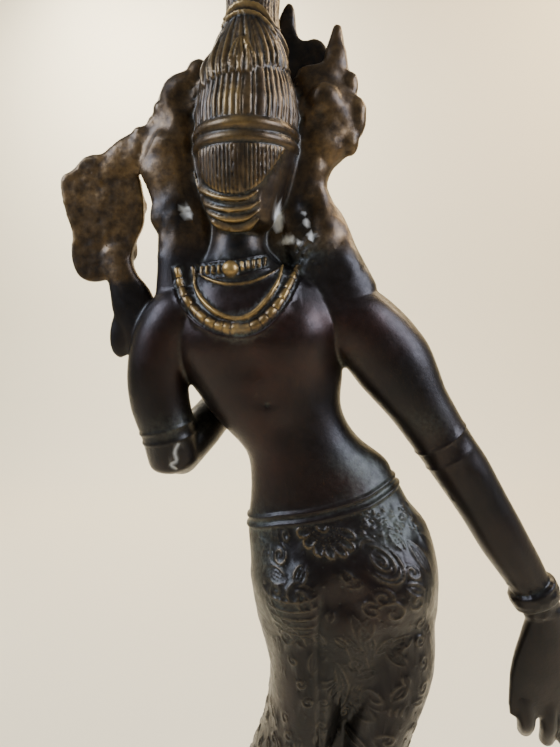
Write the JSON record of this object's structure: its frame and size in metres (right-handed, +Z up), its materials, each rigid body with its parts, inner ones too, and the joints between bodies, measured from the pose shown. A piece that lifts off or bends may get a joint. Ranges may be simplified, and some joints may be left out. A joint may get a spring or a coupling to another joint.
{
  "type": "standing tara figure",
  "caption": "Cast bronze standing goddess in a threefold bend, one arm hanging with an open hand, a tall lotus at the other shoulder, on a low round lotus base.",
  "frame": {"origin": "centre of the flat underside of the round base", "axes": "+Z up; the figure faces -Y and her left side, with the lotus, is towards +X"},
  "size_m": [0.3472, 0.15, 0.7899],
  "materials": {
    "bronze": "dark brown and black patina on cast bronze, rubbed to bare golden metal on the ridges"
  },
  "bodies": {
    "root": {"tara_figure": "bronze"}
  },
  "joints": []
}
